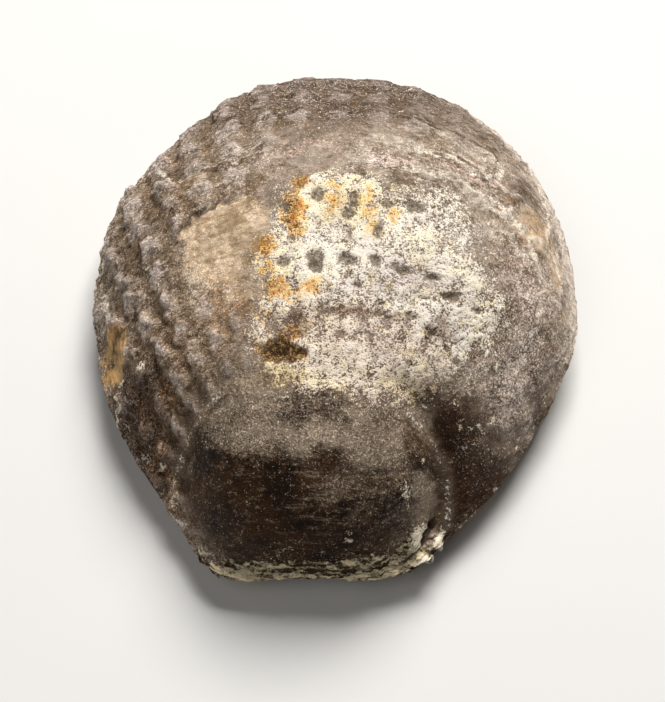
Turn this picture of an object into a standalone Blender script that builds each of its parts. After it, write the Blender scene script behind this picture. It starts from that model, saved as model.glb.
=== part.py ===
"""Agatized fossil scallop: one solid stone, a domed ribbed valve with its umbo at -Y.

It lies on a worn flat under its middle. X is across the shell, +Y runs from the hinge to the
outer margin and +Z is up. The origin is at the bottom centre of its box.
"""

import bmesh
import bpy
import numpy as np

NAME = "agate_scallop"

MM = 0.001

# Whole stone
WIDTH = 76 * MM
LENGTH = 85 * MM
CROWN_HEIGHT = 29 * MM

# Plan outline: two half ellipses, trimmed by worn breaks (direction in degrees, distance)
HALF_WIDTH = WIDTH / 2
FAR_REACH = LENGTH / 2
NEAR_REACH = 52 * MM
FAR_ROUNDNESS = 2.2
BREAKS = {
    "hinge": (270, 42.5 * MM),
    "left ear": (240, 46.2 * MM),
    "left shoulder": (213, 38.6 * MM),
    "left flank": (195, 38.4 * MM),
    "right ear": (293, 43.6 * MM),
    "right shoulder": (315, 37.8 * MM),
    "right flank": (332, 36.2 * MM),
    "upper left margin": (137, 40.1 * MM),
}
BREAK_ROUNDING = 1 * MM

# Rim, where the upper and lower faces meet
RIM_HEIGHT = 7.4 * MM
RIM_RISE = 0.045
RIM_SHARPNESS = 22

# Dome of the upper valve
DOME_SWELL = 2.3
DOME_FALL = 0.75
SHOULDER_DROP = 0.5
SHOULDER_START = -14 * MM
SHOULDER_END = -36 * MM

# Umbo, the swollen beak end
UMBO_CENTRE = (-3.3 * MM, -18 * MM)
UMBO_HALF_WIDTH = 22 * MM
UMBO_HALF_LENGTH = 25.5 * MM
UMBO_BASE = 2 * MM
UMBO_TOP = 26 * MM
UMBO_SQUARENESS = 2.5
UMBO_FALL = 0.52
UMBO_BLEND = 1.2 * MM
GROOVE_DEPTH = 1.2 * MM
GROOVE_WIDTH = 3.5 * MM
GROOVE_INNER = 9 * MM
GROOVE_OUTER = 15 * MM
GROOVE_START = -13 * MM
GROOVE_FULL = -23 * MM

# Ribs, which fan out from the beak and bend a little towards the middle on their way
BEAK = (-2.3 * MM, -41.5 * MM)
RIB_ANGLE = np.radians(5.6)
RIB_LEAN = 0.0068 / MM
LEFT_LEAN_START = 46 * MM
RIGHT_LEAN_START = 52 * MM
RIB_RELIEF = 0.45 * MM
RIB_START_SHARE = 0.4
RIB_FULL_SHARE = 0.72
RIB_FAN = np.radians(54)
RIB_FAN_END = np.radians(66)
LOWER_RIB_SHARE = 0.6

# Underside
FLAT_SHARE = 0.52
BELLY_CURVE = 0.72

# Rings and spokes of the surface
SPOKES = 120
UPPER_RINGS = 25
LOWER_RINGS = 10
RIM_CROWDING = 0.7


def smooth_step(value, start, end):
    """0 before start and 1 past end, with a soft change between."""
    share = np.clip((value - start) / (end - start), 0, 1)
    return share * share * (3 - 2 * share)


def soft_max(a, b, blend):
    return blend * np.logaddexp(a / blend, b / blend)


def outline_radius(angle):
    """Distance from the middle to the outline, at a plan angle."""
    across = np.abs(np.cos(angle)) / HALF_WIDTH
    along = np.sin(angle)
    far = (across**FAR_ROUNDNESS + (np.abs(along) / FAR_REACH) ** FAR_ROUNDNESS) ** (
        -1 / FAR_ROUNDNESS
    )
    near = (across**2 + (along / NEAR_REACH) ** 2) ** -0.5
    limits = [np.where(along > 0, far, near)]
    for direction, distance in BREAKS.values():
        facing = np.cos(angle - np.radians(direction))
        limits.append(distance / np.maximum(facing, 0.2))
    total = sum(np.exp(-limit / BREAK_ROUNDING) for limit in limits)
    return -BREAK_ROUNDING * np.log(total)


def ribs(x, y, share):
    """Rib relief from -1 in a furrow to 1 on a crest, worn away over the middle."""
    side = np.arctan2(x - BEAK[0], y - BEAK[1])
    reach = np.hypot(x - BEAK[0], y - BEAK[1])
    right_lean = np.maximum(reach - RIGHT_LEAN_START, 0)
    lean = np.where(side < 0, reach - LEFT_LEAN_START, right_lean)
    count = side * (1 + RIB_LEAN * lean) / RIB_ANGLE
    crest = 1 - 2 * np.cos(np.pi * count) ** 2
    inside_fan = 1 - smooth_step(np.abs(side), RIB_FAN, RIB_FAN_END)
    return crest * inside_fan * smooth_step(share, RIB_START_SHARE, RIB_FULL_SHARE)


def rim_height(y):
    return RIM_HEIGHT + RIM_RISE * y


def dome_height(share, y):
    """Height of the valve without its umbo; it sinks beside the hinge."""
    drop = 1 - SHOULDER_DROP * smooth_step(-y, -SHOULDER_START, -SHOULDER_END)
    rise = (1 - share**DOME_SWELL) ** DOME_FALL
    return rim_height(y) + (CROWN_HEIGHT - rim_height(y)) * rise * drop


def umbo_height(x, y):
    across = np.abs(x - UMBO_CENTRE[0]) / UMBO_HALF_WIDTH
    along = np.abs(y - UMBO_CENTRE[1]) / UMBO_HALF_LENGTH
    inside = np.clip(1 - across**UMBO_SQUARENESS - along**UMBO_SQUARENESS, 0, 1)
    return UMBO_BASE + (UMBO_TOP - UMBO_BASE) * inside**UMBO_FALL


def upper_height(x, y, share):
    """Upper face: dome and umbo together, a groove where they cross, and the ribs."""
    dome = dome_height(share, y)
    umbo = umbo_height(x, y)
    beside = smooth_step(np.abs(x - UMBO_CENTRE[0]), GROOVE_INNER, GROOVE_OUTER)
    beside = beside * smooth_step(-y, -GROOVE_START, -GROOVE_FULL)
    crease = beside * np.exp(-(((umbo - dome) / GROOVE_WIDTH) ** 2))
    rib_fade = 1 / (1 + np.exp((umbo - dome) / UMBO_BLEND))
    skin = soft_max(dome, umbo, UMBO_BLEND) - GROOVE_DEPTH * crease
    skin = skin + RIB_RELIEF * ribs(x, y, share) * rib_fade
    edge = np.sqrt(1 - share**RIM_SHARPNESS)
    return rim_height(y) + (skin - rim_height(y)) * edge


def lower_height(x, y, share):
    """Underside: flat in the middle, curling up to the rim with faint ribs."""
    curl = np.clip((share - FLAT_SHARE) / (1 - FLAT_SHARE), 0, 1)
    relief = LOWER_RIB_SHARE * RIB_RELIEF * ribs(x, y, share) * 2 * curl * (1 - curl)
    return rim_height(y) * (1 - (1 - curl**2) ** BELLY_CURVE) + np.maximum(relief, 0)


def ring_shares(ring):
    """How far out each ring lies, 0 at the middle and 1 at the rim, from the crown down."""
    up = np.clip(ring / UPPER_RINGS, 0, 1)
    upper = (1 - RIM_CROWDING) * up + RIM_CROWDING * np.sin(up * np.pi / 2)
    down = np.clip((ring - UPPER_RINGS) / (LOWER_RINGS - 1), 0, 1)
    lower = 1 - (1 - FLAT_SHARE) * down
    share = np.where(ring <= UPPER_RINGS, upper, lower)
    return np.where(ring >= UPPER_RINGS + LOWER_RINGS, 0, share)


def shape_stone(mesh_edit):
    """Move the points of a unit sphere onto the stone's surface."""
    sphere = np.array([point.co for point in mesh_edit.verts])
    angle = np.arctan2(sphere[:, 1], sphere[:, 0])
    tilt = np.arccos(np.clip(sphere[:, 2], -1, 1)) / np.pi
    ring = np.round(tilt * (UPPER_RINGS + LOWER_RINGS))
    share = ring_shares(ring)
    reach = share * outline_radius(angle)
    x = reach * np.cos(angle)
    y = reach * np.sin(angle)
    upper = upper_height(x, y, share)
    lower = lower_height(x, y, share)
    z = np.where(ring <= UPPER_RINGS, upper, lower)
    for point, place in zip(mesh_edit.verts, np.stack([x, y, z], 1)):
        point.co = place


def agate_material():
    """Smoky grey-brown chalcedony, dully glossy."""
    material = bpy.data.materials.new("agate")
    material.use_nodes = True
    shader = material.node_tree.nodes["Principled BSDF"]
    shader.inputs["Base Color"].default_value = (0.23, 0.19, 0.155, 1)
    shader.inputs["Roughness"].default_value = 0.38
    shader.inputs["Metallic"].default_value = 0.0
    return material


def make_stone(collection):
    mesh_edit = bmesh.new()
    bmesh.ops.create_uvsphere(
        mesh_edit, u_segments=SPOKES, v_segments=UPPER_RINGS + LOWER_RINGS, radius=1
    )
    shape_stone(mesh_edit)
    mesh = bpy.data.meshes.new(NAME)
    mesh_edit.to_mesh(mesh)
    mesh_edit.free()
    mesh.shade_smooth()
    mesh.materials.append(agate_material())
    stone = bpy.data.objects.new(NAME, mesh)
    collection.objects.link(stone)
    return stone


def clear_scene():
    for thing in list(bpy.data.objects):
        bpy.data.objects.remove(thing, do_unlink=True)


def main():
    clear_scene()
    collection = bpy.data.collections.new("agatized_scallop")
    bpy.context.scene.collection.children.link(collection)
    make_stone(collection)


main()
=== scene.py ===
"""Looks of the agatized fossil scallop, one stone with a drusy crust over its middle.

The stone is one closed mesh. A ball's points are moved onto the stone's form, and then its
relief is raised and cut along the normals. Lengths are in millimetres up to the last step.
X is across the shell, +Y runs from the hinge to the outer margin and +Z is up.
"""

import math

import bmesh
import bpy
import numpy as np
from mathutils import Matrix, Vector, noise


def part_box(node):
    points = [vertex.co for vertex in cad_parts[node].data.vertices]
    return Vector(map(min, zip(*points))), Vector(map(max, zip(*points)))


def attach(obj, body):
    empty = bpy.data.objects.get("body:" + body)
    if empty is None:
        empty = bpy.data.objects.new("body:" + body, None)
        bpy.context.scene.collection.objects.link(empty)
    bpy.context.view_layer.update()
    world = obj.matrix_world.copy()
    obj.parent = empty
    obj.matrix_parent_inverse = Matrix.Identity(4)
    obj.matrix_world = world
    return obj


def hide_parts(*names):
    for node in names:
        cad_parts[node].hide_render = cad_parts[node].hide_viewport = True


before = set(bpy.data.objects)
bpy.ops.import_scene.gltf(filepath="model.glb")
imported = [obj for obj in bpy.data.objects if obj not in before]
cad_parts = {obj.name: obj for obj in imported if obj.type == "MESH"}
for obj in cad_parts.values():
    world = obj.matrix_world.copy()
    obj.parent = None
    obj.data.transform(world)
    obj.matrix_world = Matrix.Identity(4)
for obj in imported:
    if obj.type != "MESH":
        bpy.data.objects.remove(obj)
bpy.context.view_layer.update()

NODE = "agate_scallop"
STONE_LOW, STONE_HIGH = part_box(NODE)
LENGTH = 85
MM = (STONE_HIGH[1] - STONE_LOW[1]) / LENGTH

# Form of the stone: outline with its worn breaks (direction in degrees, distance), and rim
HALF_WIDTH = 38
FAR_REACH = LENGTH / 2
NEAR_REACH = 52
FAR_ROUNDNESS = 2.2
BREAKS = {
    "hinge": (270, 42.5),
    "left ear": (240, 46.2),
    "left shoulder": (213, 38.6),
    "left flank": (195, 38.4),
    "right ear": (293, 43.6),
    "right shoulder": (315, 37.8),
    "right flank": (332, 36.2),
    "upper left margin": (137, 40.1),
}
RIM_HEIGHT = 7.4
RIM_RISE = 0.045
RIM_SHARPNESS = 22

# Dome, umbo, the grooves beside the umbo, and the underside
CROWN_HEIGHT = 29
DOME_SWELL = 2.3
DOME_FALL = 0.75
SHOULDER_DROP = 0.5
SHOULDER_START = 14
SHOULDER_END = 36
UMBO_CENTRE = (-3.3, -18)
UMBO_HALF_WIDTH = 22
UMBO_HALF_LENGTH = 25.5
UMBO_BASE = 2
UMBO_TOP = 26
UMBO_SQUARENESS = 2.5
UMBO_FALL = 0.52
UMBO_BLEND = 1.2
GROOVE_DEPTH = 1.2
GROOVE_WIDTH = 3.5
GROOVE_INNER = 9
GROOVE_OUTER = 15
GROOVE_START = 13
GROOVE_FULL = 23
FLAT_SHARE = 0.52
BELLY_CURVE = 0.72

# Points of the ball: the rim's place on it, and how the rings crowd towards the rim
BALL_CUTS = 127
RIM_TILT = math.radians(130)
RIM_CROWDING = 0.65

# Flat map: the upper face's disc and the small one of the underside, radius and middle
TOP_DISC = (0.405, 0.41)
UNDER_DISC = (0.18, 0.815)

# Ribs, which fan out from the beak and lean inwards, and growth rows, which are arcs round it
BEAK = (-2.3, -41.5)
RIB_ANGLE = 5.6
RIB_LEAN = 0.0068
LEFT_LEAN_START = 46
RIGHT_LEAN_START = 52
RIB_FAN = 54
RIB_FAN_END = 66
ROW_SPACING = 5.1
LUMP_SHARE = 0.85

# Steps of the shell's growth: distance from the beak, side angles, height, and 1 if pale
GROWTH_STEPS = {
    "middle": (33.6, -14, 38, 0.3, 0),
    "right arc": (59.6, 8, 34, 0.5, 1),
    "upper right arc": (64.3, 12, 30, 0.45, 1),
    "far right arc": (56, 26, 46, 0.25, 1),
    "left arc": (62, -24, -3, 0.25, 0),
    "outer": (70.3, -20, 24, 0.25, 0),
    "left flank": (46, -48, -30, 0.2, 0),
}
LEDGE_RUN = 3.2
LEDGE_DROP = 0.6
FINE_LINE_SPACING = 1.9
FINE_LINE_HEIGHT = 0.035

# Heights and depths of the rest of the relief, and the sizes of its grains and its flange
CRUST_HEIGHT = 0.4
PIT_DEPTH = 0.3
HOLE_DEPTH = 0.3
STONE_ROUGHNESS = 0.22
SUGAR_SIZE = 0.85
SUGAR_HEIGHT = 0.05
CRUST_SUGAR_HEIGHT = 0.16
WRINKLE_DEPTH = 0.12
UMBO_SWELL = 0.35
RIDGE_HEIGHT = 0.35
TRENCH_DEPTH = 0.4
TAN_DEPTH = 0.15
LIP_DEPTH = 0.3
AMBER_WINDOW_DEPTH = 0.5
FLANGE_FULL = 1.1
FLANGE_WIDTH = 1.7
FLANGE_DEPTH = 0.25
CHIP_DEPTH = 0.7
TOOTH_HEIGHT = 0.15
WHITE_CHIP_HEIGHT = 0.12
FOLD_HEIGHT = 0.7
HOLLOW_DEPTH = 0.9

# How far ragged edges wander from their outlines
EDGE_FRAY = 1.1

# Crust of fine quartz over the middle. For some 10 mm from one growth row towards the beak it
# is a little thinner, and along another row its furrows are bare.
CRUST_OUTLINE = [
    (-6.4, 11.8), (-4.2, 13.2), (-0.8, 15), (3.7, 13.8), (6.4, 13.2), (9.4, 10.2), (12, 11.8),
    (16.6, 12.1), (19.6, 8.9), (21, 3), (22.5, -1), (25, -5.5), (23.5, -9.4), (21.5, -13),
    (17.7, -17), (14, -18.6), (11.8, -20), (4.3, -21.4), (-3.7, -21), (-8, -19.2), (-11.9, -16.5),
    (-12.4, -13), (-11, -9), (-10.5, -6), (-11.5, -2.7), (-12, 1.8), (-9.6, 4), (-7.7, 8),
]
THIN_CRUST_ROW = 34
BARE_FURROW_ROW = 33

# A patch is its place, its half sizes and its strength, which is 1 where it isn't given.
# These are where the crust is pitted, bare or thick.
PITS = [
    (-2.6, 10.6, 1.2, 1.8, 1), (2.8, 9.6, 1.1, 1.4, 0.85), (2, 7.2, 1, 1.3, 0.85),
    (7.7, 9, 1.2, 0.8, 1), (12.2, 8.9, 1.7, 1, 0.85), (-2.8, 5.2, 0.8, 1.5, 0.4),
    (2.2, 3.6, 0.8, 2, 0.45), (6.3, 4.2, 0.9, 1.8, 0.75), (10.9, 4.4, 0.8, 0.8, 0.3),
    (-7.7, -1, 1, 1.2, 0.7), (-3, -1.2, 1.4, 1.8, 1), (1.8, -0.8, 1.4, 1, 1),
    (5.8, -1.1, 1.2, 0.8, 1), (9.8, -2, 1.5, 0.7, 0.9), (14.4, -2.9, 1.5, 0.7, 0.9),
    (-5.8, -5.4, 0.6, 0.9, 0.5), (3.2, -5, 0.8, 0.5, 0.7), (-1.3, -5.4, 0.5, 0.9, 0.5),
    (17.2, -5.2, 1.7, 0.6, 0.7), (-0.8, -9.2, 1.5, 0.5, 0.5), (6.4, -9.2, 1.6, 0.5, 0.5),
    (11, -9.4, 0.8, 0.6, 0.9), (0.9, -12.6, 1, 0.7, 0.55), (4.9, -12.9, 0.7, 0.8, 0.5),
    (17.8, -14.6, 0.7, 0.8, 0.7), (14.3, -11, 0.7, 0.8, 0.6), (10.4, -16, 0.6, 0.5, 0.5),
    (7.4, -11, 0.5, 0.6, 0.45), (13.4, -6.2, 1, 0.5, 0.5), (21, -6.8, 0.9, 0.6, 0.5),
]
BARE_PATCHES = [
    (7.4, -3.6, 1.8, 2.6, 0.6), (-6.2, -11.2, 3.4, 1.7, 1), (17.3, 3.4, 1.4, 3.2, 0.7),
    (16, 4.4, 1.5, 2.2, 0.8), (1.8, 1.4, 1.4, 1.4, 0.5), (12.4, -2.2, 3.6, 1, 0.5),
    (16.6, -5.2, 3, 1.2, 0.7), (-7.2, 5.2, 1.1, 1.5, 0.7), (13, 9.4, 2.2, 1.2, 0.7),
    (4.5, -9.4, 5.5, 1.2, 0.6), (14.6, -11.6, 1.8, 2.2, 0.4), (4.6, -12.6, 1.6, 1.4, 0.5),
    (20.6, -14, 1.6, 1.6, 0.6), (7, 10.6, 1.2, 1.4, 0.4), (14.6, 7.6, 1.8, 2.6, 0.6),
    (10.4, 9.6, 1.2, 2, 0.5), (9.6, -13, 1.4, 1.2, 0.4), (8.6, 0.8, 3, 2.2, 0.5),
    (13.6, -12.6, 1.2, 2.4, 0.5), (15.4, -19, 3.4, 1.4, 0.5),
]
THICK_PATCHES = [
    (-2.8, 8.4, 1.4, 4.8, 1), (7, -16.6, 4, 1.4, 0.6), (-1.2, 1.4, 3, 2.4, 0.9),
    (4, 12.4, 2.6, 1.8, 0.9), (-4, -3.2, 3.6, 2.2, 0.7), (12, 4.4, 3.4, 4, 0.8),
    (17.6, 9.2, 2.6, 3.2, 0.4), (18.4, -0.6, 3, 2.4, 0.8), (4.8, 2, 1.6, 3.6, 0.7),
    (1.6, -17.4, 3.2, 3, 1.1), (11.6, -12, 2.4, 2, 0.7), (11.8, -16.8, 2.6, 1.4, 1.1),
    (22, -9.4, 3, 3, 0.8), (-3.4, -16.4, 2.2, 3, 0.8), (12, -9, 3.4, 1.6, 0.3),
    (14.6, -15, 3, 1.8, 0.5), (-8.6, -6, 2.4, 1.8, 0.7), (-6.4, -7.2, 5, 1.6, 1.1),
    (8, -19, 3, 1.6, 0.5), (-10.6, -17, 2, 1.4, 0.3),
]

# Hole through the crust, at its left
HOLE = [(-8.6, -14.8, 2.3, 1.7), (-6.6, -15.3, 1.9, 1.4)]

# Smooth window of tan chalcedony left of the crust, with a broken lip round its outer side
TAN_OUTLINE = [
    (-23.6, 8.5), (-20.6, 9.9), (-18.3, 10.8), (-15.2, 12), (-12, 11.4), (-10, 8.4), (-8.4, 3.8),
    (-8.8, -3), (-9.6, -9.6), (-13.4, -10), (-16.5, -9), (-20, -6), (-22, -3), (-23.2, 0.2),
    (-24, 3), (-24, 6),
]
TAN_GREY = [(-12, 9.6, 2.4, 1.4), (-22.6, -1.4, 1.4, 1.8, 0.5)]
TAN_LIP = [(-24.2, 6.2), (-23.3, 7.5), (-21.8, 9.1), (-20.1, 10.1), (-18.3, 10.3), (-15.2, 11.3)]

# Smaller window of clear amber, low at the left margin
AMBER_WINDOW = (-34.2, -8.6, 2.2, 4.2)

# Stains of the upper face: how soft their edges are, and their patches
STAINS = {
    "ochre": (0.7, [
        (-6, 7.4, 1.7, 4.8, 1.15), (-10.6, 1.8, 2, 1.6, 1.15), (-0.7, 13.6, 1.6, 1, 0.6),
        (-0.3, 9.8, 1.3, 4.2, 0.75), (5, 8, 1.3, 4.2, 0.75), (8.8, 6.8, 1.4, 1.6, 0.85),
        (-8.3, -5.2, 2.6, 2.2, 1.05), (-3.8, -5.3, 3, 1.6, 0.8), (-6.2, -7.4, 1.8, 1.2, 0.7),
        (-5.2, 12.6, 1.2, 1.6, 0.9), (-9.6, -2.2, 1.6, 2.8, 0.85), (-12, 1.2, 2, 3, 0.4),
        (-5.8, -16, 1.8, 1.2, 0.9), (-10.6, -9, 1.2, 1.6, 0.6), (-7.4, -12.6, 2, 0.9, 0.8),
        (-11.4, -14.6, 0.9, 2, 0.5),
    ]),
    "yellow": (0.8, [
        (-8.2, -18.6, 4.4, 1.4, 0.9), (2, 9, 7, 5, 0.75), (-8, -3, 4, 4, 0.5),
        (-2.5, -19.8, 3, 1.2, 0.4), (8.8, -18.8, 3.6, 1.6, 0.55), (13, 2, 3, 2.6, 0.55),
        (12, -5.2, 2, 1.6, 0.4), (21.5, -5.5, 2.8, 3.6, 0.36), (15, -15.6, 3, 2.4, 0.15),
        (-6.5, -8, 3.2, 1.2, 0.4), (18.6, -1, 2.4, 3, 0.45), (11.6, -19.8, 1.6, 1, 0.7),
        (-12.4, -18.6, 3, 1.6, 0.4), (1.5, 12.4, 3, 2, 0.4),
    ]),
    "lilac": (0.9, [
        (10.6, -3.2, 4.6, 3, 1), (4, -5.6, 4.4, 1.6, 0.7), (6.5, -12, 5.6, 3.2, 0.5),
        (16, -9.6, 3.6, 2.6, 0.6), (0.6, 6.2, 1.2, 3.6, 0.7), (5.2, 1, 2, 2.6, 0.5),
        (13, 7.2, 2, 2, 0.6), (-2.6, 6.6, 0.9, 1.8, 0.6), (18.6, -4.6, 2.4, 2, 0.6),
    ]),
    "brown": (0.8, [
        (15.4, -10.8, 1.8, 1.8, 1), (-6.4, -11.2, 2.6, 1.6, 1), (2.4, -9.2, 5.6, 0.9, 1),
        (9.4, -9.4, 2.4, 0.8, 0.9), (-0.2, -13.6, 1.4, 2.2, 0.5), (13.4, -17.6, 2, 1.6, 0.5),
        (14.8, -3.4, 2.4, 1, 0.6), (-9, 9.4, 1.6, 1.2, 0.4),
    ]),
    "amber": (0.7, [
        AMBER_WINDOW,
        (-28.4, -19, 2.6, 5, 0.6), (-26.8, -25.4, 3, 4, 0.7), (-24.9, -29.6, 1.6, 3.2, 0.85),
        (-22.2, -12, 4.6, 5, 0.5), (27.4, 14.6, 1.8, 1, 0.6), (-17.4, -11.4, 4, 4.5, 0.5),
        (33.8, 4.2, 0.8, 2.4, 0.6), (-25.2, -17.6, 1.6, 3.2, 0.7), (-16, -7.6, 6, 6, 0.6),
        (-23.5, 14.5, 5, 6, 0.3), (-24, -13, 11, 13, 0.45), (17, -28, 6, 9, 0.4),
        (-22, -27, 8, 7, 0.5),
    ]),
    "honey": (0.6, [
        (31, 10.2, 2.8, 4, 0.9), (34.2, 5, 1.3, 3.8, 0.75), (35.8, -1.2, 1, 2.8, 0.6),
        (-22.2, 16.4, 2.4, 3, 0.4),
    ]),
    "pink": (0.7, [
        (-24.8, 24.2, 2.6, 1.8, 1), (-33.2, -3.6, 2.2, 1.8, 0.9), (-19.8, 28.4, 2.8, 2.2, 0.5),
        (-6, 20.5, 9, 1.6, 0.5), (22, 16.6, 5, 2.2, 0.6), (27.5, 1, 4.5, 8, 0.45),
        (-24.6, 16.4, 1.6, 2.6, 0.5), (-12, 18.6, 4, 1.2, 0.5), (8, 17.6, 4, 1.8, 0.8),
    ]),
    # Smoke patches are partly smoky agate and partly painted shade, as on the low left flank and
    # beside the umbo.
    "smoke": (0.8, [
        (18.2, -25.6, 4.6, 8, 1), (17.6, -33, 3, 6, 1), (-27, -26, 5, 8, 0.85),
        (-21, -22, 3, 5, 0.5), (-29.5, -18.5, 5, 8, 1), (0, 36, 27, 11, 0.9),
        (-24, 20.5, 4, 3.6, 0.5), (22, 28, 8, 5, 0.4), (-31.5, 6.5, 3, 6, 0.5),
        (29.2, 17.6, 2.6, 3.6, 0.6), (29, -22.4, 3.4, 3, 0.6), (22.5, -28.8, 7.4, 6.2, 1),
        (-14.8, 23.4, 3, 2, 0.5), (-27.8, 12.6, 1.8, 3.6, 0.6), (-30, 4, 7, 3.4, 0.35),
        (-24, 1, 3, 3, 0.3), (-25.4, -4.6, 2, 7, 0.3), (-12.4, -12, 2.4, 4, 0.35),
        (14.4, -19.6, 3.2, 2, 0.75), (17, -21.4, 3, 3.6, 1), (31.8, -18, 2.4, 8, 0.7),
        (-20, 29, 9, 6, 0.3), (-31, -33, 7, 7, 1), (-17, -5.8, 4, 1.6, 0.35),
        (-9, 22.6, 6, 1.8, 0.4), (-4, 17.2, 4.6, 1.6, 0.35), (-9.6, 11.6, 2, 1.6, 0.4),
    ]),
    "frost": (0.9, [
        (25, -13.5, 7, 7.5, 1), (16, -20, 4, 2.6, 0.5), (-4, 30, 16, 6, 0.5),
        (-32, -14, 2, 3, 0.3), (28, -4, 6, 8, 0.7), (-16, 22, 8, 5, 0.25),
        (-28, -14, 8, 12, 0.25), (22, -24, 6, 6, 0.5), (-2, 37, 24, 6, 0.6),
        (27.4, -8.6, 5.4, 4.6, 1.2), (7, 17.2, 3.2, 1.8, 0.8),
    ]),
}

# Umbo: the lower edge of the grey bloom on its top, which is partly painted highlight of the lit
# top, dull patches, and the ridges at its sides
BLOOM_HIGHLIGHT_EDGE = [
    (-22, -23), (-18.4, -27.6), (-12.5, -30.4), (-7, -31), (-3.4, -32), (0.9, -32.2), (4, -32),
    (8, -31.6), (12, -29.6), (15, -26), (17, -23),
]
BLOOM_HIGHLIGHT_PATCHES = [
    (13.4, -32.2, 2.6, 2.8, 1.5), (10, -35.4, 7, 3, 0.5), (-21, -35, 3, 3, 0.15),
    (8, -31, 9, 5, 0.5), (-22, -26, 2.4, 3, 0.4), (-3.6, -27.8, 5, 3, 1.3),
    (4, -35, 7, 3.4, 0.45),
]
DULL_PATCHES = [
    (9.4, -23.9, 3.4, 2.2, 0.45), (-17, -34.5, 6, 4, 0.5), (-3.4, -23.8, 4.4, 2.2, 0.45),
    (7, -28.2, 3.2, 2.6, 0.2), (-1.4, -30.4, 3, 1.2, 0.7), (-14.6, -23.6, 2.2, 1.4, 0.35),
    (-10, -38.5, 6, 3, 0.5), (12.4, -25.8, 2.8, 3.2, 0.6),
]
UMBO_RIDGES = [
    [
        (-16.8, -19.4), (-19.4, -21.1), (-21.5, -23.5), (-22.8, -24.8), (-23.8, -27.1),
        (-24.7, -29.9), (-25.3, -32.8),
    ],
    [
        (8.6, -20.4), (10.4, -22), (12.5, -23.6), (14.4, -25.1), (15.7, -26.8), (16.6, -28.8),
        (16.9, -31.4), (16.6, -34.4),
    ],
]

# Pale edges of thin layers, and dark lines, each a line through these places
PALE_LINES = [
    [(12.4, 19.9), (15, 19.7), (18.4, 19.6), (20.8, 19.3), (22.6, 17.9)],
    [
        (10.4, 16.5), (12.4, 15.8), (16.2, 14.8), (19.4, 15.2), (20.9, 13.9), (23.3, 13.6),
        (25.3, 13.2), (26.8, 10.7), (28.9, 9.3), (30, 6.7), (31.2, 3),
    ],
    [
        (21, 17.2), (23.4, 17.2), (24.4, 18.8), (25.6, 18.7), (26.3, 20.5), (26, 21.8),
        (24.7, 22), (23.1, 21.2),
    ],
    [(32.7, 17.9), (33.6, 16.8), (33.5, 14.3), (32.9, 10.5), (33.1, 8), (34.2, 7.7), (34.5, 4.2)],
    [(31.1, 23.7), (32.5, 21.6), (33.4, 19.5), (34.8, 16.8), (35.4, 13.1), (36.1, 10)],
    [(-25.7, 17.9), (-27.5, 21.5), (-29.2, 26.5)],
    [(-36, 1.7), (-35.1, -2.2), (-36, -3.5)],
]
DARK_LINES = [
    [(11.3, 27.4), (14, 26.5), (17.6, 26.6), (19.8, 25.7), (21.4, 25.2), (23.9, 23.5)],
    [(-12.5, 27.2), (-10.6, 27.3), (-8.9, 27.6), (-6.3, 28.5)],
    [(-3.7, 28.9), (-1.6, 29.1), (0.7, 29), (2.3, 28.4)],
    [(-17.5, 18.1), (-15.3, 18), (-13.7, 18.1)],
    [(-22.2, 23.3), (-21, 23.8), (-19.6, 24.2)],
    [(-26.6, 19.2), (-25.9, 20.4), (-25.1, 20.8)],
    [(-11.9, 19.5), (-9.3, 20.3), (-7, 20.6)],
    [(26.1, 13), (27.2, 13.7), (28.8, 14.9)],
    [(19.3, 20.4), (21.6, 18.9), (22.9, 16.5)],
    [(-28.6, 10.4), (-27.5, 11.5), (-27, 12.9)],
    [(-9.3, -28.8), (-6.6, -30), (-3.4, -31.1), (-0.8, -31.5), (1.4, -31.2)],
    [(-15.9, -19.8), (-17.9, -21), (-19.6, -22.7)],
]
FAR_FROM_LINE = 3

# Fine lines along the growth: distance from the beak, side angles, half width and strength
PALE_ARCS = [
    (59.7, 6, 46, 1.6, 0.4), (64.1, 8, 28, 1.1, 0.25), (61.6, 14, 30, 0.4, 0.2),
    (68.4, 20, 30, 0.4, 0.4), (55.2, 28, 50, 0.5, 0.4), (62.6, -22, -6, 0.5, 0.35),
    (57.2, 4, 22, 0.25, 0.3), (50.5, 34, 52, 0.3, 0.3),
]
DARK_ARCS = [
    (34.2, -10, 26, 1.3, 0.5), (66.6, 12, 24, 0.4, 0.25), (70.4, 6, 22, 0.4, 0.3),
    (70.2, -16, 6, 0.3, 0.5), (58.6, 10, 40, 0.4, 0.3), (64.6, -26, -12, 0.3, 0.5),
    (62.8, 8, 26, 0.25, 0.2), (46.4, -46, -32, 0.3, 0.5),
]

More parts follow.
